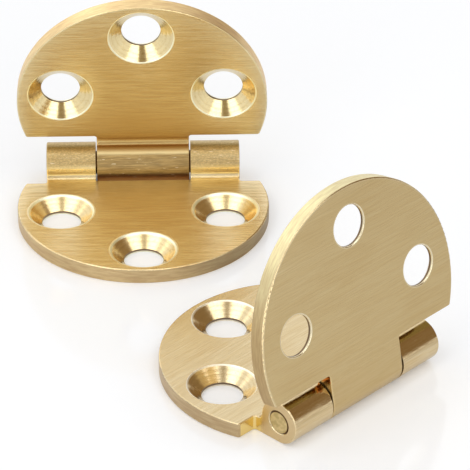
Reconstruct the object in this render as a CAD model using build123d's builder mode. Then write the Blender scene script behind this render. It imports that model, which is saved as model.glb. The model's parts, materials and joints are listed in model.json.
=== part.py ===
"""Pair of solid brass butler tray hinges, each half folded.

Each hinge is two round leaves with a straight edge, joined by a pin through three knuckles.
The base leaf carries the two outer knuckles and the pin, the raised leaf the centre knuckle.
The knuckles are flush with the leaves' back faces and stand proud of the countersunk faces.

Millimetres. The origin is the centre of the left hinge's base leaf, on its back face.
+Z is up, +X lies along the left hinge's pin and +Y points from that base leaf to its pin.
"""
from build123d import *
from math import radians, sqrt, tan
import os

os.makedirs("parts", exist_ok=True)

# Leaf plate
LEAF_DIAMETER = 38.0
LEAF_THICKNESS = 2.3
CHORD_DISTANCE = 6.5  # from the round leaf's centre to its straight edge
CORNER_RADIUS = 0.4  # where the straight edge meets the rim and the knuckle necks
EDGE_ROUNDING = 0.2

# Knuckles, in a row along the pin
KNUCKLE_DIAMETER = 6.4
CENTRE_KNUCKLE_LENGTH = 14.15
OUTER_KNUCKLE_LENGTH = 7.5
KNUCKLE_END_GAP = 0.2
ROOT_FILLET = 0.8  # where a knuckle rises from the countersunk face
STRAIGHT_EDGE_CLEARANCE = 1.3  # from a leaf's straight edge to the other leaf's knuckles
RECESS_CLEARANCE = 0.95  # from the base leaf's recess to the centre knuckle

# Pin, tight in the outer knuckles and free in the centre one
PIN_DIAMETER = 3.5
PIN_RUNNING_CLEARANCE = 0.04  # on the radius
PIN_END_ROUNDING = 0.2
BORE_MOUTH_CHAMFER = 0.12

# Screw holes, for countersunk wood screws with a 5 mm shank
SCREW_SHANK = 5.0
SCREW_CLEARANCE = 0.9
COUNTERSINK_DIAMETER = 9.9
COUNTERSINK_ANGLE = 98.0
COUNTERSINK_ROUNDING = 0.25
BACK_HOLE_ROUNDING = 0.12  # or half the land under the cone, where that is less
SIDE_HOLE_SETBACK = 8.5  # from the straight edge
SIDE_HOLE_WALL = 1.53  # from the countersink to the leaf's rim
MIDDLE_HOLE_WALL = 0.85

# How the pair lies: each raised leaf is turned up from flat open by its opening angle
LEFT_OPENING = 102.5
RIGHT_OPENING = 100.1
RIGHT_PIN_X = 28.75
RIGHT_PIN_Y = -49.6
RIGHT_HEADING = -135.4  # of the right pin, from +X

KNUCKLE_RADIUS = KNUCKLE_DIAMETER / 2
PIN_RADIUS = PIN_DIAMETER / 2
STRAIGHT_EDGE = KNUCKLE_RADIUS + STRAIGHT_EDGE_CLEARANCE  # from the pin's axis
RECESS_EDGE = KNUCKLE_RADIUS + RECESS_CLEARANCE
DISC_CENTRE = STRAIGHT_EDGE + CHORD_DISTANCE
FACE_LEVEL = LEAF_THICKNESS - KNUCKLE_RADIUS  # of the countersunk face, from the pin's axis
CENTRE_KNUCKLE_END = CENTRE_KNUCKLE_LENGTH / 2
OUTER_KNUCKLE_START = CENTRE_KNUCKLE_END + KNUCKLE_END_GAP
PIN_END = OUTER_KNUCKLE_START + OUTER_KNUCKLE_LENGTH
CENTRE_KNUCKLE = [(-CENTRE_KNUCKLE_END, CENTRE_KNUCKLE_END)]
OUTER_KNUCKLES = [(-PIN_END, -OUTER_KNUCKLE_START), (OUTER_KNUCKLE_START, PIN_END)]
HOLE_RADIUS = (SCREW_SHANK + SCREW_CLEARANCE) / 2
HOLE_LAND = LEAF_THICKNESS - (COUNTERSINK_DIAMETER / 2 - HOLE_RADIUS) / tan(radians(COUNTERSINK_ANGLE / 2))
SIDE_HOLE_Y = STRAIGHT_EDGE + SIDE_HOLE_SETBACK
SIDE_HOLE_REACH = (LEAF_DIAMETER - COUNTERSINK_DIAMETER) / 2 - SIDE_HOLE_WALL  # from the leaf's centre
SIDE_HOLE_X = sqrt(SIDE_HOLE_REACH**2 - (SIDE_HOLE_Y - DISC_CENTRE) ** 2)
MIDDLE_HOLE_Y = DISC_CENTRE + (LEAF_DIAMETER - COUNTERSINK_DIAMETER) / 2 - MIDDLE_HOLE_WALL
HOLE_CENTRES = [(-SIDE_HOLE_X, SIDE_HOLE_Y), (SIDE_HOLE_X, SIDE_HOLE_Y), (0, MIDDLE_HOLE_Y)]
POSITION_TOLERANCE = 0.01  # for picking edges and corners by where they are

# A root fillet ends on the face before the neck's corners and the recess begin.
NECK_LENGTH = min(STRAIGHT_EDGE - CORNER_RADIUS, RECESS_EDGE) - POSITION_TOLERANCE
ROOT_FILLET_LIMIT = (NECK_LENGTH**2 - KNUCKLE_RADIUS**2 + FACE_LEVEL**2) / (2 * (KNUCKLE_RADIUS - FACE_LEVEL))


def pin_plane(pin_x, pin_y, heading, turn=0.0, opening=0.0):
    """Plane through a pin's axis: x along the pin, y out over the leaf, z to its countersunk side."""
    along = Vector(1, 0, 0).rotate(Axis.Z, heading + turn)
    facing = Vector(0, 0, 1).rotate(Axis((0, 0, 0), along), opening)
    return Plane(origin=(pin_x, pin_y, KNUCKLE_RADIUS), x_dir=along, z_dir=facing)


def across(plane, x):
    """Plane square to the pin at x, with its own x over the leaf and its y to the countersunk side."""
    return Plane(plane.origin, x_dir=plane.y_dir, z_dir=plane.x_dir).offset(x)


def hinge_leaf(axis, knuckles, bore_radius, recess=None):
    """One leaf on the pin plane given, with its knuckles, their bores and three screw holes."""
    back = axis.offset(-KNUCKLE_RADIUS)
    front = back.offset(LEAF_THICKNESS)
    with BuildPart() as leaf:
        with BuildSketch(back) as outline:
            with Locations((0, DISC_CENTRE)):
                Circle(LEAF_DIAMETER / 2)
            with Locations((0, STRAIGHT_EDGE)):
                Rectangle(LEAF_DIAMETER, LEAF_DIAMETER, align=(Align.CENTER, Align.MAX), mode=Mode.SUBTRACT)
            for low, high in knuckles:
                with Locations(((low + high) / 2, 0)):
                    Rectangle(high - low, DISC_CENTRE, align=(Align.CENTER, Align.MIN))
            if recess:
                with Locations((0, recess)):
                    Rectangle(2 * OUTER_KNUCKLE_START, CHORD_DISTANCE, align=(Align.CENTER, Align.MIN))
            edge_end = STRAIGHT_EDGE + POSITION_TOLERANCE
            corners = outline.vertices().filter_by_position(Axis.Y, POSITION_TOLERANCE, edge_end)
            fillet(corners, CORNER_RADIUS)
        extrude(amount=LEAF_THICKNESS)

        for low, high in knuckles:
            with BuildSketch(across(axis, low)) as knuckle:
                Circle(KNUCKLE_RADIUS)
                with Locations((0, -KNUCKLE_RADIUS)):
                    Rectangle(STRAIGHT_EDGE, LEAF_THICKNESS, align=(Align.MIN, Align.MIN))
                on_face = knuckle.vertices().filter_by_position(
                    Axis.Y, FACE_LEVEL - POSITION_TOLERANCE, FACE_LEVEL + POSITION_TOLERANCE
                )
                fillet(on_face.sort_by(Axis.X)[0], min(ROOT_FILLET, ROOT_FILLET_LIMIT))
            extrude(amount=high - low)

        # The faces' outer edges run on smoothly into the knuckles' ends, so this rounds them all.
        fillet(circles(leaf, LEAF_DIAMETER / 2), EDGE_ROUNDING)

        with BuildSketch(across(axis, -PIN_END)):
            Circle(bore_radius)
        extrude(amount=2 * PIN_END, mode=Mode.SUBTRACT)
        if recess:
            mouths = circles(leaf, bore_radius).filter_by(lambda edge: far_out(edge, axis))
            chamfer(mouths, BORE_MOUTH_CHAMFER)

        with Locations(front):
            with Locations(*HOLE_CENTRES):
                CounterSinkHole(
                    HOLE_RADIUS,
                    COUNTERSINK_DIAMETER / 2,
                    depth=2 * LEAF_THICKNESS,
                    counter_sink_angle=COUNTERSINK_ANGLE,
                )
        fillet(circles(leaf, COUNTERSINK_DIAMETER / 2), COUNTERSINK_ROUNDING)
        back_rims = circles(leaf, HOLE_RADIUS).filter_by(lambda edge: on_plane(edge, back))
        fillet(back_rims, min(BACK_HOLE_ROUNDING, HOLE_LAND / 2))
    return leaf


def circles(piece, radius):
    """Edges of a piece that are round, of the radius given."""
    near = POSITION_TOLERANCE
    return piece.edges().filter_by(GeomType.CIRCLE).filter_by(lambda edge: abs(edge.radius - radius) < near)


def on_plane(edge, plane):
    """True for an edge that lies around a point of the plane."""
    return abs((edge.arc_center - plane.origin).dot(plane.z_dir)) < POSITION_TOLERANCE


def far_out(edge, axis):
    """True for an edge at either end of the row of knuckles."""
    return abs(abs((edge.arc_center - axis.origin).dot(axis.x_dir)) - PIN_END) < POSITION_TOLERANCE


def hinge_pin(axis):
    """Plain pin, flush with the outer knuckles' ends."""
    with BuildPart() as pin:
        with BuildSketch(across(axis, -PIN_END)):
            Circle(PIN_RADIUS)
        extrude(amount=2 * PIN_END)
        fillet(pin.edges().filter_by(GeomType.CIRCLE), PIN_END_ROUNDING)
    return pin


def make_hinge(side, pin_x, pin_y, heading, opening):
    """Base leaf, raised leaf and pin of one hinge, each written as its own piece."""
    base_axis = pin_plane(pin_x, pin_y, heading, turn=180)
    raised_axis = pin_plane(pin_x, pin_y, heading, opening=opening)

    base_leaf = hinge_leaf(base_axis, OUTER_KNUCKLES, PIN_RADIUS, recess=RECESS_EDGE)
    base_leaf.part.label = f"{side}_base_leaf"
    export_step(base_leaf.part, f"parts/{side}_base_leaf.step")

    raised_leaf = hinge_leaf(raised_axis, CENTRE_KNUCKLE, PIN_RADIUS + PIN_RUNNING_CLEARANCE)
    raised_leaf.part.label = f"{side}_raised_leaf"
    export_step(raised_leaf.part, f"parts/{side}_raised_leaf.step")

    pin = hinge_pin(base_axis)
    pin.part.label = f"{side}_pin"
    export_step(pin.part, f"parts/{side}_pin.step")


make_hinge("left", 0, DISC_CENTRE, 0, LEFT_OPENING)
make_hinge("right", RIGHT_PIN_X, RIGHT_PIN_Y, RIGHT_HEADING, RIGHT_OPENING)
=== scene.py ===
"""Looks of a pair of brass butler tray hinges: satin brushed leaves, turned countersinks, drawn
knuckles and cut pin ends, on a white glossy table top in soft studio light.

Metres, in the row frame: the origin is the centre of the left base leaf, on its back face.
"""
import json
import math
from dataclasses import dataclass
from types import SimpleNamespace

import bpy
from mathutils import Euler, Matrix, Vector

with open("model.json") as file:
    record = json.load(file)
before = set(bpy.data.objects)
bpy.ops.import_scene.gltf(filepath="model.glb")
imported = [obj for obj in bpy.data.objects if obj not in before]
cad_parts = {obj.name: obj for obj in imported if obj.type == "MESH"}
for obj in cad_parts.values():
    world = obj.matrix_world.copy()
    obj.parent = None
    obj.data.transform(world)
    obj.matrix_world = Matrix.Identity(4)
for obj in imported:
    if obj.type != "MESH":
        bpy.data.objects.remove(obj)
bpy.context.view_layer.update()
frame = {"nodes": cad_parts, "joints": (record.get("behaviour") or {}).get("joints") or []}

MM = 0.001

# Sizes of a leaf, in its own frame: x along the pin, y out over the leaf, z to the countersunk
# face, with the origin on the pin's axis.
KNUCKLE_RADIUS = 3.2 * MM
PIN_RADIUS = 1.75 * MM
LEAF_THICKNESS = 2.3 * MM
LEAF_RADIUS = 19.0 * MM
DISC_CENTRE = (0.0, 11.0 * MM)
HOLES = [(-12.36 * MM, 13.0 * MM), (12.36 * MM, 13.0 * MM), (0.0, 24.2 * MM)]
HOLE_RADIUS = 2.95 * MM
COUNTERSINK_RADIUS = 4.95 * MM
BACK_LEVEL = -KNUCKLE_RADIUS
FACE_LEVEL = LEAF_THICKNESS - KNUCKLE_RADIUS
RECESS_HALF_WIDTH = 7.3 * MM

# Where an area of a leaf starts and where it is whole
HOLE_EDGE = (COUNTERSINK_RADIUS + 0.1 * MM, COUNTERSINK_RADIUS - 0.1 * MM)
BORE_EDGE = (HOLE_RADIUS + 0.35 * MM, HOLE_RADIUS + 0.1 * MM)
FRONT_EDGE = (FACE_LEVEL - 0.5 * MM, FACE_LEVEL - 0.2 * MM)
BACK_EDGE = (BACK_LEVEL + 0.3 * MM, BACK_LEVEL + 0.15 * MM)
BARREL_EDGE = (KNUCKLE_RADIUS + 0.35 * MM, KNUCKLE_RADIUS - 0.35 * MM)
RIM_EDGE = (LEAF_RADIUS - 0.35 * MM, LEAF_RADIUS - 0.2 * MM)
RECESS_EDGE = (RECESS_HALF_WIDTH, RECESS_HALF_WIDTH - 0.1 * MM)
SIDE_EDGE = (6.0 * MM, 17.0 * MM)
PIN_EDGE = (PIN_RADIUS - 0.22 * MM, PIN_RADIUS - 0.12 * MM)
NEAR_KNUCKLE = 5.0 * MM
NEAR_SHAPE = (0.9, 1.0, 0.0)  # the area near the knuckles is a little wider along the pin

# The knuckle's strip next to the countersunk face, painted light, and its side away from the leaf,
# painted shade
NEAR_STRIP_Y = (2.2 * MM, 2.7 * MM)
NEAR_STRIP_LEVEL = 0.75 * MM
NEAR_STRIP_REACH = 0.85 * MM
FAR_SIDE_Y = (0.2 * MM, -0.6 * MM)
FAR_SIDE_Z = (1.5 * MM, 2.5 * MM)

# Narrow painted highlights on rounded edges: their middle and how far they reach either side
BAND_WHOLE = 0.4  # share of its reach where a band is whole
LIP_MIDDLE = COUNTERSINK_RADIUS - 0.03 * MM
BACK_LIP_MIDDLE = HOLE_RADIUS + 0.04 * MM
BACK_LIP_REACH = 0.2 * MM
BACK_RIM_MIDDLE = LEAF_RADIUS - 0.12 * MM
BACK_RIM_REACH = 0.22 * MM

# Windows on flatness, which is 1 on a face level with the leaf and 0 on one that stands on edge
UPRIGHT = (0.5, 0.25)
NOT_LEVEL = (0.93, 0.85)
NOT_UPRIGHT = (0.4, 0.6)
ROUNDED_OVER = (0.995, 0.97)
FACING_ALONG = (0.9, 0.97)  # the same along the pin, for the knuckles' ends

JOINTS = {joint["name"]: joint for joint in frame["joints"]}
SIDES = ("left", "right")


def leaf_matrix(side, raised):
    """Row frame placing of a leaf's own frame, from its hinge's joint at rest."""
    joint = JOINTS[f"{side}_fold"]
    along = Vector(joint["axis"])
    opening = math.radians(-joint["range_deg"][0]) if raised else 0.0
    heading = math.atan2(along.y, along.x) + (0.0 if raised else math.pi)
    turn = Matrix.Rotation(heading, 4, "Z") @ Matrix.Rotation(opening, 4, "X")
    return Matrix.Translation(Vector(joint["pos_m"])) @ turn


class Graph:
    """A material's nodes, with short calls for the ones used here."""

    # Sockets of the Mix node, which has a set for each kind of value
    COLOUR_A, COLOUR_B, COLOUR_OUT = 6, 7, 2
    NUMBER_A, NUMBER_B, NUMBER_OUT = 2, 3, 0

    def __init__(self, name):
        self.material = bpy.data.materials.new(name)
        self.material.use_nodes = True
        self.tree = self.material.node_tree
        self.shader = self.tree.nodes["Principled BSDF"]
        self.output = self.tree.nodes["Material Output"]

    def link(self, value, socket):
        if isinstance(value, bpy.types.NodeSocket):
            self.tree.links.new(value, socket)
        else:
            socket.default_value = value

    def node(self, kind, **settings):
        made = self.tree.nodes.new(kind)
        for key, value in settings.items():
            setattr(made, key, value)
        return made

    def math(self, operation, a, b=0.0, clamp=False):
        made = self.node("ShaderNodeMath", operation=operation, use_clamp=clamp)
        for socket, value in zip(made.inputs, (a, b)):
            self.link(value, socket)
        return made.outputs[0]

    def product(self, *values):
        result = values[0]
        for value in values[1:]:
            result = self.math("MULTIPLY", result, value)
        return result

    def without(self, *masks):
        """1 where every mask is 0."""
        result = 1.0
        for mask in masks:
            result = self.math("SUBTRACT", result, mask, clamp=True)
        return result

    def vector(self, operation, a, b=(0.0, 0.0, 0.0), output="Vector"):
        made = self.node("ShaderNodeVectorMath", operation=operation)
        self.link(a, made.inputs[0])
        self.link(b, made.inputs[1])
        return made.outputs[output]

    def combine(self, *values):
        made = self.node("ShaderNodeCombineXYZ")
        for socket, value in zip(made.inputs, values):
            self.link(value, socket)
        return made.outputs[0]

    def split(self, vector):
        made = self.node("ShaderNodeSeparateXYZ")
        self.link(vector, made.inputs[0])
        return made.outputs

    def step(self, value, low, high):
        """0 at low and 1 at high, smooth between; high may be the smaller."""
        made = self.node("ShaderNodeMapRange", interpolation_type="SMOOTHSTEP")
        turned = low > high
        self.link(value, made.inputs["Value"])
        made.inputs["From Min"].default_value = min(low, high)
        made.inputs["From Max"].default_value = max(low, high)
        made.inputs["To Min"].default_value = 1.0 if turned else 0.0
        made.inputs["To Max"].default_value = 0.0 if turned else 1.0
        return made.outputs["Result"]

    def band(self, value, middle, reach):
        """1 where value is at middle, falling to 0 at the reach given either side."""
        away = self.math("ABSOLUTE", self.math("SUBTRACT", value, middle))
        return self.step(away, reach, BAND_WHOLE * reach)

    def noise(self, point, pattern):
        """Noise of a pattern, before its window and its amount."""
        made = self.node("ShaderNodeTexNoise", noise_dimensions="3D")
        self.link(self.vector("MULTIPLY", point, pattern.scale), made.inputs["Vector"])
        made.inputs["Scale"].default_value = 1.0
        made.inputs["Detail"].default_value = pattern.detail
        made.inputs["Roughness"].default_value = pattern.roughness
        return made.outputs["Fac"]

    def patches(self, point, pattern):
        """Mask of a pattern's marks."""
        marks = self.step(self.noise(point, pattern), *pattern.window)
        return self.product(marks, pattern.amount)

    def rings(self, distance, rings_a_metre):
        """Noise that changes with the distance alone."""
        made = self.node("ShaderNodeTexNoise", noise_dimensions="1D")
        self.link(self.math("MULTIPLY", distance, rings_a_metre), made.inputs["W"])
        made.inputs["Scale"].default_value = 1.0
        made.inputs["Detail"].default_value = 2.0
        return made.outputs["Fac"]

    def mix(self, factor, a, b, blend_type="MIX"):
        """Colour a where factor is 0 and b where it is 1."""
        made = self.node("ShaderNodeMix", data_type="RGBA", blend_type=blend_type)
        self.link(factor, made.inputs["Factor"])
        self.link(a, made.inputs[self.COLOUR_A])
        self.link(b, made.inputs[self.COLOUR_B])
        return made.outputs[self.COLOUR_OUT]

    def blend(self, factor, a, b):
        """Number a where factor is 0 and b where it is 1."""
        made = self.node("ShaderNodeMix", data_type="FLOAT")
        self.link(factor, made.inputs["Factor"])
        self.link(a, made.inputs[self.NUMBER_A])
        self.link(b, made.inputs[self.NUMBER_B])
        return made.outputs[self.NUMBER_OUT]

    def bump(self, height, distance, strength):
        made = self.node("ShaderNodeBump")
        made.inputs["Strength"].default_value = strength
        made.inputs["Distance"].default_value = distance
        self.link(height, made.inputs["Height"])
        return made.outputs["Normal"]

    def metal(self, colour, roughness, height, depth, strength):
        """Completes the material as bare metal, with its relief as deep as given."""
        inputs = self.shader.inputs
        self.link(colour, inputs["Base Color"])
        self.link(roughness, inputs["Roughness"])
        self.link(self.bump(height, depth, strength), inputs["Normal"])
        inputs["Metallic"].default_value = 1.0
        return self.material

    def in_frame(self, place, seed):
        """Surface point and normal in the frame given, and the point moved to its own noise."""
        coordinates = self.node("ShaderNodeTexCoord")
        results = []
        for source, offset in (("Object", place.to_translation()), ("Normal", Vector((0, 0, 0)))):
            mapping = self.node("ShaderNodeMapping", vector_type="TEXTURE")
            mapping.inputs["Location"].default_value = offset
            mapping.inputs["Rotation"].default_value = place.to_euler()
            self.link(coordinates.outputs[source], mapping.inputs["Vector"])
            results.append(mapping.outputs["Vector"])
        point, normal = results
        return point, normal, self.vector("ADD", point, (seed, 2.0 * seed, 3.0 * seed))


def rgba(red, green, blue):
    return (red, green, blue, 1.0)


def toned(colour, shade):
    """Colour times shade, which is a number, or one for each of red, green and blue."""
    shades = (shade,) * 3 if isinstance(shade, float) else shade
    return rgba(*(value * each for value, each in zip(colour, shades)))


def give(node, material):
    """Puts one material on a CAD node."""
    slots = frame["nodes"][node].data.materials
    slots.clear()
    slots.append(material)


# Colours of the brass, and of the light and shade painted on it
DEEP = rgba(0.62, 0.42, 0.17)
SATIN = rgba(0.78, 0.61, 0.33)
# Pale brass for the brushing's streaks, and the painted sheen toward the face's sides
PALE_STREAK_AND_SHEEN = rgba(0.83, 0.69, 0.43)
RIM_DARK = rgba(0.62, 0.42, 0.21)
RIM_PALE = rgba(0.76, 0.565, 0.29)
SANDY_DARK = rgba(0.33, 0.22, 0.08)
SANDY_PALE = rgba(0.58, 0.415, 0.175)
# Painted shade inside the holes' bores
BORE_WALL = rgba(0.22, 0.15, 0.09)
CUT_FACE = rgba(0.92, 0.70, 0.27)
CONE = rgba(0.80, 0.63, 0.34)
# Painted highlights on the rounded lips and edges, and real bright scratches
PAINTED_HIGHLIGHT_AND_SCRATCH = rgba(1.0, 0.90, 0.66)
END_FACE = rgba(0.70, 0.51, 0.25)
# Painted shade on the base leaf's recess wall, which the centre knuckle mirrors
PAINTED_SHADE_WALL = rgba(0.45, 0.16, 0.03)
# Painted shade on the raised leaf's face next to the knuckles
PAINTED_SHADE_NEAR_KNUCKLE = rgba(0.56, 0.35, 0.12)
# Painted light on the knuckle's strip next to the face
PAINTED_STRIP_LIGHT = rgba(0.97, 0.81, 0.46)
# Painted light on the base leaf's face next to the knuckles
PAINTED_LIGHT_NEAR_KNUCKLE = rgba(0.90, 0.75, 0.46)
# Painted red-brown shade on the knuckle's far side
PAINTED_RED_SHADE = rgba(0.64, 0.27, 0.055)
GROOVE = rgba(0.10, 0.05, 0.02)
PIN_DARK = rgba(0.54, 0.41, 0.17)
PIN_PALE = rgba(0.72, 0.56, 0.27)


@dataclass
class Pattern:
    """Noise; scale is how many features a metre it has on each axis, the first along the pin."""

    scale: tuple
    detail: float = 2.0
    roughness: float = 0.5
    window: tuple = (0.0, 1.0)  # noise at which its marks start and at which they are whole
    amount: float = 1.0  # how strongly its marks show


HAIR = Pattern((280.0, 8000.0, 8000.0), roughness=0.6)
LINES = Pattern((170.0, 4200.0, 4200.0), roughness=0.6)
STREAKS = Pattern((80.0, 1700.0, 1700.0), detail=3.0, roughness=0.6, window=(0.3, 0.7), amount=0.55)
CLOUDS = Pattern((60.0, 150.0, 150.0), window=(0.4, 0.75), amount=0.25)
SCRATCHES = Pattern((120.0, 5200.0, 5200.0), detail=1.0, window=(0.72, 0.8), amount=0.5)
PITS = Pattern((2600.0, 2600.0, 2600.0), detail=1.0, window=(0.77, 0.82), amount=0.7)
FLECKS = Pattern((900.0, 7000.0, 7000.0), detail=1.0, window=(0.70, 0.78))
SANDING = Pattern((420.0, 1.0, 3800.0), detail=3.0, roughness=0.65, window=(0.3, 0.7))
CHATTER = Pattern((1800.0, 3200.0, 3200.0), roughness=0.7, window=(0.52, 0.68), amount=0.35)
MOTTLE = Pattern((1500.0, 1500.0, 1500.0), detail=3.0, window=(0.35, 0.65))
SPECKS_ACROSS = 6000.0  # a metre; along the pin, each look has a length of its own
SPECK_WINDOW = (0.4, 0.65)

# Brushing is part hair and part lines.
HAIR_SHARE = 0.4
BRUSH_WINDOW = (0.58, 0.40)
BRUSH_AMOUNT = 0.5

# Turned marks: rings a metre, and how far the cones' show in their colour
CONE_RINGS = 3500.0
PIN_RINGS = 6000.0
RING_WINDOW = (0.45, 0.65)
RING_AMOUNT = 0.25

FACE_ROUGHNESS = 0.17
STRIP_ROUGHNESS = 0.6
RIM_ROUGHNESS = 0.38
CUT_ROUGHNESS = 0.16
END_ROUGHNESS = 0.3
LIP_ROUGHNESS = 0.42
BORE_ROUGHNESS = 0.35
PIN_ROUGHNESS = 0.3
BRUSHED_ROUGHNESS = 0.14  # what the brushing adds on a face
DRAWN_ROUGHNESS = 0.08  # and on a knuckle

# Relief of each area, as a share of the depth, and the depths themselves
TURNED_RELIEF = 0.4
SPECK_RELIEF = 0.12
RIM_RELIEF = 0.4
END_RELIEF = 0.2
CUT_RELIEF = 0.15
PIN_RELIEF = 0.4
LEAF_DEPTH = 0.05 * MM
LEAF_STRENGTH = 0.6
PIN_DEPTH = 0.01 * MM
PIN_STRENGTH = 0.5


@dataclass
class Look:
    """One leaf's finish, and the light and shade painted on it."""

    shade: tuple  # painted light and shade on the colour of the whole leaf, set leaf by leaf
    grain: float  # how strongly the brushing shows
    rim_shades: tuple  # on the colour of the rim at the two angles below: partly the rim's own tone, partly painted light and shade
    lip_reach: float  # of the countersinks' lips and their painted highlights, either side
    cone_roughness: float  # of the countersinks
    barrel_roughness: float  # of the knuckles
    cut_shade: float  # on the colour of the cut straight edge; darker on the raised leaves as painted shade that the knuckles mirror
    flecks: float  # how bright the knuckles' short scratches are
    rim_angles: tuple = (0.0, 1.0)  # round the disc from the leaf's far end, toward +x, between which the rim's painted light and shade change
    side_sheens: tuple = (0.0, 0.0)  # painted sheen: how far the face is paler toward -x and +x
    edge: float = 0.0  # how bright the painted highlight on the back's edge is
    flat_lip: float = 0.0  # how bright a lip's painted highlight is on the face
    dullness: float = 0.0  # how far the knuckles are dull and speckled
    dull_shade: float | tuple = 1.0  # on the colour of that dullness
    speck_length: float = 1.0 * MM  # of its specks, along the pin
    near_colour: tuple = DEEP  # of the painted light and shade on the face where it meets the knuckles
    near_factor: float = 0.0  # how far it has that colour
    near_reach: float = 9.0 * MM  # how far from the pin it starts
    strip_light: float = 0.0  # how bright the painted light is on the knuckle next to the face
    far_side_shade: float = 0.0  # how red the painted shade is on the knuckle's far side


# How the leaves differ: the base leaves have the darker rims, the left hinge's knuckles are dull
# and speckled, and the right hinge's raised leaf, seen from its back, is the smoothest and dullest.
# Each leaf's shade and rims also carry painted light and shade, as light falls on it.
LEAF_LOOKS = {
    "left_base_leaf": Look(
        shade=(1.13, 1.16, 1.20),
        grain=1.3,
        rim_shades=(0.80, 0.5),
        rim_angles=(-0.15, -0.7),
        side_sheens=(0.9, 0.0),
        lip_reach=0.34 * MM,
        flat_lip=0.6,
        cone_roughness=0.22,
        barrel_roughness=0.34,
        dullness=0.75,
        speck_length=0.35 * MM,
        flecks=0.75,
        cut_shade=1.0,
        near_colour=PAINTED_LIGHT_NEAR_KNUCKLE,
        near_factor=0.85,
        near_reach=14.0 * MM,
    ),
    "left_raised_leaf": Look(
        shade=(1.05, 1.10, 1.13),
        grain=0.85,
        rim_shades=(1.25, 1.25),
        side_sheens=(0.5, 0.75),
        lip_reach=0.16 * MM,
        cone_roughness=0.14,
        barrel_roughness=0.34,
        dullness=0.85,
        dull_shade=(0.78, 0.69, 0.59),
        speck_length=2.5 * MM,
        flecks=0.9,
        cut_shade=0.45,
        near_colour=PAINTED_SHADE_NEAR_KNUCKLE,
        near_factor=0.85,
        near_reach=16.0 * MM,
        strip_light=0.85,
        far_side_shade=0.8,
    ),
    "right_base_leaf": Look(
        shade=(1.0, 1.04, 1.16),
        grain=0.75,
        rim_shades=(0.8, 0.8),
        lip_reach=0.22 * MM,
        cone_roughness=0.2,
        barrel_roughness=0.07,
        flecks=0.5,
        cut_shade=1.0,
    ),
    "right_raised_leaf": Look(
        shade=(0.84, 0.825, 0.78),
        grain=0.45,
        rim_shades=((1.4, 1.75, 2.1), 0.87),
        rim_angles=(0.6, 1.5),
        edge=0.3,
        lip_reach=0.22 * MM,
        cone_roughness=0.2,
        barrel_roughness=0.26,
        flecks=0.0,
        cut_shade=0.4,
    ),
}


def leaf_areas(graph, point, normal, look):
    """Masks that are 1 on one area of a leaf and 0 elsewhere, and the measures they come from."""
    x, y, z = graph.split(point)
    facing_x, _, facing_z = graph.split(normal)
    flatness = graph.math("ABSOLUTE", facing_z)
    flat_point = graph.vector("MULTIPLY", point, (1.0, 1.0, 0.0))

    def distance_from(centre):
        return graph.vector("DISTANCE", flat_point, (*centre, 0.0), output="Value")

    hole_distance, *others = (distance_from(hole) for hole in HOLES)
    for other in others:
        hole_distance = graph.math("MINIMUM", hole_distance, other)
    disc_distance = distance_from(DISC_CENTRE)

    upright = graph.step(flatness, *UPRIGHT)
    in_hole = graph.step(hole_distance, *HOLE_EDGE)
    front = graph.step(z, *FRONT_EDGE)
    barrel = graph.step(y, *BARREL_EDGE)
    outside = graph.step(disc_distance, *RIM_EDGE)
    plate_side = graph.product(upright, graph.without(in_hole, barrel))
    cut = graph.product(plate_side, graph.without(outside))

    off_level = graph.step(flatness, *NOT_LEVEL)
    off_edge = graph.step(flatness, *NOT_UPRIGHT)
    rounded = graph.math("MAXIMUM", graph.step(flatness, *ROUNDED_OVER), look.flat_lip)
    lip_band = graph.band(hole_distance, LIP_MIDDLE, look.lip_reach)
    back_lip_band = graph.band(hole_distance, BACK_LIP_MIDDLE, BACK_LIP_REACH)
    back_rim_band = graph.band(disc_distance, BACK_RIM_MIDDLE, BACK_RIM_REACH)
    end_on = graph.step(graph.math("ABSOLUTE", facing_x), *FACING_ALONG)
    mid_width = graph.step(graph.math("ABSOLUTE", x), *RECESS_EDGE)
    knuckle_distance = graph.vector(
        "LENGTH", graph.vector("MULTIPLY", flat_point, NEAR_SHAPE), output="Value"
    )
    near_knuckle = graph.step(knuckle_distance, look.near_reach, NEAR_KNUCKLE)
    strip_band = graph.band(z, NEAR_STRIP_LEVEL, NEAR_STRIP_REACH)
    return SimpleNamespace(
        level=z,
        hole_distance=hole_distance,
        rim_angle=graph.math("ARCTAN2", x, graph.math("SUBTRACT", y, DISC_CENTRE[1])),
        cone=graph.product(in_hole, off_level, off_edge),
        bore=graph.product(graph.step(hole_distance, *BORE_EDGE), upright),
        lip=graph.product(lip_band, front, rounded),
        back_lip=graph.product(back_lip_band, graph.step(z, *BACK_EDGE)),
        back_rim=graph.product(back_rim_band, graph.without(upright, front)),
        rim=graph.product(plate_side, outside),
        cut=cut,
        recess=graph.product(cut, mid_width),
        sides=[graph.step(x, *(way * edge for edge in SIDE_EDGE)) for way in (-1, 1)],
        barrel=barrel,
        end_face=graph.product(barrel, end_on),
        near_knuckle=graph.product(near_knuckle, graph.without(barrel)),
        near_strip=graph.product(graph.step(y, *NEAR_STRIP_Y), strip_band, look.strip_light),
        far_side=graph.product(graph.step(y, *FAR_SIDE_Y), graph.step(z, *FAR_SIDE_Z)),
    )


def leaf_textures(graph, own_point, area, seed, look):
    """Noise that both the colour and the relief of a leaf follow."""
    hair = graph.product(graph.noise(own_point, HAIR), HAIR_SHARE)
    lines = graph.product(graph.noise(own_point, LINES), 1.0 - HAIR_SHARE)
    along_rim = graph.math("MULTIPLY", area.rim_angle, LEAF_RADIUS)
    rim_point = graph.combine(along_rim, seed, area.level)
    speck_scale = (1 / look.speck_length, SPECKS_ACROSS, SPECKS_ACROSS)
    return SimpleNamespace(
        brush=graph.math("ADD", hair, lines),
        sanded=graph.noise(rim_point, SANDING),
        speckle=graph.noise(own_point, Pattern(speck_scale, detail=3.0, roughness=0.7)),
        turned=graph.rings(area.hole_distance, CONE_RINGS),
    )


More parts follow.
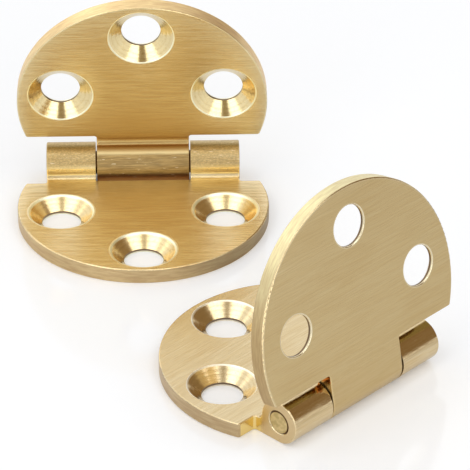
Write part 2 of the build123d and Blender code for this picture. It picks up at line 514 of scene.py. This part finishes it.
def leaf_colour(graph, own_point, area, texture, look):
    """Colour of a leaf: the brushed face, with the knuckles, edges and holes over it, and the light
    and shade painted on it.
    """
    brushed = graph.step(texture.brush, *BRUSH_WINDOW)
    specks = graph.step(texture.speckle, *SPECK_WINDOW)
    sandy = graph.mix(specks, *(toned(tone, look.dull_shade) for tone in (SANDY_DARK, SANDY_PALE)))
    # Painted light and shade round the rim: paler toward one angle, darker toward the other
    round_rim = graph.step(area.rim_angle, *look.rim_angles)
    rim_tones = (
        graph.mix(round_rim, *(toned(tone, shade) for shade in look.rim_shades))
        for tone in (RIM_DARK, RIM_PALE)
    )
    rings = graph.product(graph.step(texture.turned, *RING_WINDOW), RING_AMOUNT)
    turning = graph.math("ADD", rings, graph.patches(own_point, CHATTER))
    face = (
        (graph.product(graph.patches(own_point, STREAKS), look.grain), PALE_STREAK_AND_SHEEN),
        (graph.patches(own_point, CLOUDS), DEEP),
        # Painted sheen: the face paler toward its sides
        *((graph.product(side, sheen), PALE_STREAK_AND_SHEEN) for side, sheen in zip(area.sides, look.side_sheens)),
        (graph.product(brushed, BRUSH_AMOUNT * look.grain), DEEP),
        (graph.product(graph.patches(own_point, SCRATCHES), look.grain), PAINTED_HIGHLIGHT_AND_SCRATCH),
    )
    knuckles = (
        (graph.product(area.barrel, look.dullness), sandy),
        (graph.product(graph.patches(own_point, FLECKS), area.barrel, look.flecks), PAINTED_HIGHLIGHT_AND_SCRATCH),
        # Painted light and shade on the face next to the knuckles
        (graph.product(area.near_knuckle, look.near_factor), look.near_colour),
        # Painted light on the knuckle's strip next to the face
        (area.near_strip, PAINTED_STRIP_LIGHT),
        # Painted red-brown shade on the knuckle's far side
        (graph.product(area.far_side, look.far_side_shade), PAINTED_RED_SHADE),
    )
    edges = (
        (area.rim, graph.mix(graph.step(texture.sanded, *SANDING.window), *rim_tones)),
        # Painted highlight on the back's edge
        (graph.product(area.back_rim, look.edge), PAINTED_HIGHLIGHT_AND_SCRATCH),
        # Cut edge, darkened on the raised leaves as painted shade that the knuckles mirror
        (area.cut, toned(CUT_FACE, look.cut_shade)),
        # Painted shade on the recess wall
        (area.recess, PAINTED_SHADE_WALL),
        (area.end_face, END_FACE),
    )
    holes = (
        (area.cone, graph.mix(turning, CONE, DEEP)),
        # Painted highlight on the countersinks' lips
        (area.lip, PAINTED_HIGHLIGHT_AND_SCRATCH),
        # Painted shade in the bores
        (area.bore, BORE_WALL),
        # Painted highlight round the hole's back edge
        (area.back_lip, PAINTED_HIGHLIGHT_AND_SCRATCH),
        (graph.product(graph.patches(own_point, PITS), area.barrel), GROOVE),
    )
    colour = SATIN
    for mask, over in (*face, *knuckles, *edges, *holes):
        colour = graph.mix(mask, colour, over)
    # Painted light and shade: each leaf's whole colour lighter or darker as light falls on it
    return graph.mix(1.0, colour, rgba(*look.shade), "MULTIPLY")


def leaf_roughness(graph, area, texture, look):
    brushed = graph.math("ADD", FACE_ROUGHNESS, graph.product(texture.brush, BRUSHED_ROUGHNESS))
    drawn = graph.math("ADD", look.barrel_roughness, graph.product(texture.brush, DRAWN_ROUGHNESS))
    roughness = graph.blend(area.barrel, brushed, drawn)
    for mask, over in (
        (area.near_strip, STRIP_ROUGHNESS),
        (area.rim, RIM_ROUGHNESS),
        (area.cut, CUT_ROUGHNESS),
        (area.end_face, END_ROUGHNESS),
        (area.cone, look.cone_roughness),
        (area.lip, LIP_ROUGHNESS),
        (area.bore, BORE_ROUGHNESS),
    ):
        roughness = graph.blend(mask, roughness, over)
    return roughness


def leaf_height(graph, area, texture, look):
    rings = graph.product(texture.turned, TURNED_RELIEF)
    turned = graph.math("ADD", rings, graph.product(texture.speckle, SPECK_RELIEF))
    height = graph.product(texture.brush, (1.0 + look.grain) / 2)
    for mask, over in (
        (area.cone, turned),
        (area.rim, graph.product(texture.sanded, RIM_RELIEF)),
        (area.end_face, graph.product(texture.sanded, END_RELIEF)),
        (area.cut, graph.product(texture.brush, CUT_RELIEF)),
    ):
        height = graph.blend(mask, height, over)
    return height


def brushed_brass(name, place, seed, look):
    """Satin brass leaf, brushed along its pin."""
    graph = Graph(name)
    point, normal, own_point = graph.in_frame(place, seed)
    area = leaf_areas(graph, point, normal, look)
    texture = leaf_textures(graph, own_point, area, seed, look)
    return graph.metal(
        leaf_colour(graph, own_point, area, texture, look),
        leaf_roughness(graph, area, texture, look),
        leaf_height(graph, area, texture, look),
        LEAF_DEPTH,
        LEAF_STRENGTH,
    )


def pin_brass(name, place, seed):
    """Cut and faced pin ends, slightly mottled, with a dark line where the pin meets its bore."""
    graph = Graph(name)
    point, _, own_point = graph.in_frame(place, seed)
    flat_point = graph.vector("MULTIPLY", point, (0.0, 1.0, 1.0))
    radius = graph.vector("LENGTH", flat_point, output="Value")
    turned = graph.product(graph.rings(radius, PIN_RINGS), PIN_RELIEF)
    mottle = graph.noise(own_point, MOTTLE)
    colour = graph.mix(graph.step(mottle, *MOTTLE.window), PIN_DARK, PIN_PALE)
    colour = graph.mix(graph.step(radius, *PIN_EDGE), colour, GROOVE)
    height = graph.math("ADD", turned, graph.product(mottle, PIN_RELIEF))
    return graph.metal(colour, PIN_ROUGHNESS, height, PIN_DEPTH, PIN_STRENGTH)


# Each piece has noise of its own.
LEAF_SEEDS = {"base": 0.3, "raised": 0.8}
PIN_SEED = 0.7

for number, side in enumerate(SIDES):
    places = {"base": leaf_matrix(side, False), "raised": leaf_matrix(side, True)}
    for which, place in places.items():
        node = f"{side}_{which}_leaf"
        look = LEAF_LOOKS[node]
        give(node, brushed_brass(f"{node}_brass", place, LEAF_SEEDS[which] + number, look))
    give(f"{side}_pin", pin_brass(f"{side}_pin_brass", places["base"], PIN_SEED + number))

# Table top: white, glossy, and seen as white by the camera and by the metal
TABLE_SIZE = 3.0
TABLE_WHITE = rgba(0.925, 0.935, 0.955)
TABLE_ROUGHNESS = 0.09
TABLE_SPECULAR = 0.5
TABLE_GLOW_SEEN = 0.16
TABLE_GLOW_MIRRORED = 0.06

# World: white where it is seen, dimmer where it lights
WORLD_WHITE = 1.0
WORLD_LIGHT = 0.61


def plane(name, centre, across, up, material):
    """Rectangle with half sides across and up from its centre, as part of the stage."""
    centre, across, up = Vector(centre), Vector(across), Vector(up)
    corners = [
        centre - across - up,
        centre + across - up,
        centre + across + up,
        centre - across + up,
    ]
    mesh = bpy.data.meshes.new(name)
    mesh.from_pydata([tuple(corner) for corner in corners], [], [(0, 1, 2, 3)])
    mesh.materials.append(material)
    made = bpy.data.objects.new(name, mesh)
    bpy.context.scene.collection.objects.link(made)
    return made


def table_top():
    graph = Graph("white_table_top")
    shader = graph.shader
    shader.inputs["Base Color"].default_value = TABLE_WHITE
    shader.inputs["Roughness"].default_value = TABLE_ROUGHNESS
    shader.inputs["Specular IOR Level"].default_value = TABLE_SPECULAR
    path = graph.node("ShaderNodeLightPath")
    seen = graph.product(path.outputs["Is Camera Ray"], TABLE_GLOW_SEEN)
    mirrored = graph.product(path.outputs["Is Glossy Ray"], TABLE_GLOW_MIRRORED)
    glow = graph.node("ShaderNodeEmission")
    graph.link(graph.math("ADD", seen, mirrored), glow.inputs["Strength"])
    total = graph.node("ShaderNodeAddShader")
    graph.link(shader.outputs[0], total.inputs[0])
    graph.link(glow.outputs[0], total.inputs[1])
    graph.link(total.outputs[0], graph.output.inputs["Surface"])
    half = TABLE_SIZE / 2
    plane("table_top", (0, 0, 0), (half, 0, 0), (0, half, 0), graph.material)


def flag(name, centre, across, up, colour):
    """Card of the studio, seen only in the metal."""
    graph = Graph(name)
    glow = graph.node("ShaderNodeEmission")
    glow.inputs["Color"].default_value = colour
    graph.link(glow.outputs[0], graph.output.inputs["Surface"])
    card = plane(name, centre, across, up, graph.material)
    card.visible_camera = card.visible_diffuse = card.visible_shadow = False


def white_world():
    world = bpy.data.worlds.new("studio")
    bpy.context.scene.world = world
    world.use_nodes = True
    tree = world.node_tree
    background = tree.nodes["Background"]
    path = tree.nodes.new("ShaderNodeLightPath")
    seen = path.outputs["Is Camera Ray"]
    for kind in ("Is Glossy Ray", "Is Transmission Ray"):
        either = tree.nodes.new("ShaderNodeMath")
        either.operation = "MAXIMUM"
        tree.links.new(seen, either.inputs[0])
        tree.links.new(path.outputs[kind], either.inputs[1])
        seen = either.outputs[0]
    strength = tree.nodes.new("ShaderNodeMapRange")
    strength.inputs["To Min"].default_value = WORLD_LIGHT
    strength.inputs["To Max"].default_value = WORLD_WHITE
    tree.links.new(seen, strength.inputs["Value"])
    tree.links.new(strength.outputs[0], background.inputs["Strength"])
    background.inputs["Color"].default_value = rgba(1.0, 1.0, 1.0)


def soft_box(name, place, width, height, level):
    """Lamp that faces the hinges; level is how bright it looks, with 1 as white."""
    data = bpy.data.lights.new(name, "AREA")
    data.shape = "RECTANGLE"
    data.size, data.size_y = width, height
    data.energy = level * math.pi * width * height
    lamp = bpy.data.objects.new(name, data)
    lamp.location = place
    lamp.rotation_euler = (-Vector(place)).to_track_quat("-Z", "Y").to_euler()
    bpy.context.scene.collection.objects.link(lamp)


# Camera: a long lens from the front, looking 31 degrees down
CAMERA_PLACE = Vector((2.7 * MM, -430.96 * MM, 260.32 * MM))
CAMERA_DOWN = math.radians(31.467)
CAMERA_TURN = math.radians(-1.483)
CAMERA_LENS = 254.26
CAMERA_SENSOR = 36.0
CAMERA_CLIP_START = 0.01
LEVEL_TILT = math.radians(90)


def photo_camera():
    data = bpy.data.cameras.new("photo_camera")
    data.lens = CAMERA_LENS
    data.sensor_width = CAMERA_SENSOR
    data.sensor_fit = "HORIZONTAL"
    data.clip_start = CAMERA_CLIP_START
    camera = bpy.data.objects.new("photo_camera", data)
    camera.location = CAMERA_PLACE
    camera.rotation_euler = Euler((LEVEL_TILT - CAMERA_DOWN, 0.0, CAMERA_TURN))
    bpy.context.scene.collection.objects.link(camera)
    bpy.context.scene.camera = camera


table_top()
white_world()
for side, way in zip(SIDES, (-1, 1)):
    soft_box(
        f"{side}_front_box",
        place=(way * 0.32 - 0.05, -0.60, 0.30),
        width=0.33,
        height=0.36,
        level=1.35,
    )
    soft_box(
        f"{side}_top_box",
        place=(way * 0.37 - 0.03, -0.22, 0.74),
        width=0.46,
        height=0.42,
        level=1.35,
    )
soft_box("overhead_box", place=(0.0, 0.02, 0.95), width=0.24, height=0.30, level=1.6)

# Cards that darken what the metal mirrors toward the camera and overhead
flag(
    "camera_side_flag",
    centre=(-0.05, -0.80, 0.43),
    across=(0.145, 0, 0),
    up=(0, 0.08, 0.13),
    colour=rgba(0.34, 0.27, 0.16),
)
flag(
    "high_flag",
    centre=(-0.03, -0.61, 0.71),
    across=(0.10, 0, 0),
    up=(0, 0.10, 0.14),
    colour=rgba(0.46, 0.38, 0.26),
)
flag(
    "overhead_seam",
    centre=(-0.04, -0.34, 0.80),
    across=(0.10, 0, 0),
    up=(0, 0.10, 0.04),
    colour=rgba(0.44, 0.37, 0.28),
)

# A bright card behind on the left, for the rims and the right hinge's countersinks
flag(
    "left_back_card",
    centre=(-0.43, 0.43, 0.50),
    across=(0.27, 0.27, 0),
    up=(-0.09, 0.09, 0.22),
    colour=rgba(1.6, 1.6, 1.6),
)

# Cards that darken what the metal mirrors on its right
flag(
    "right_flag",
    centre=(0.75, 0.27, 0.66),
    across=(-0.17, 0.47, 0),
    up=(0, 0, 0.62),
    colour=rgba(0.27, 0.18, 0.09),
)
flag(
    "upper_right_flag",
    centre=(0.52, 0.19, 1.39),
    across=(-0.17, 0.47, 0),
    up=(-0.23, -0.08, 0.10),
    colour=rgba(0.25, 0.16, 0.08),
)

photo_camera()
bpy.context.scene.view_settings.view_transform = "Standard"
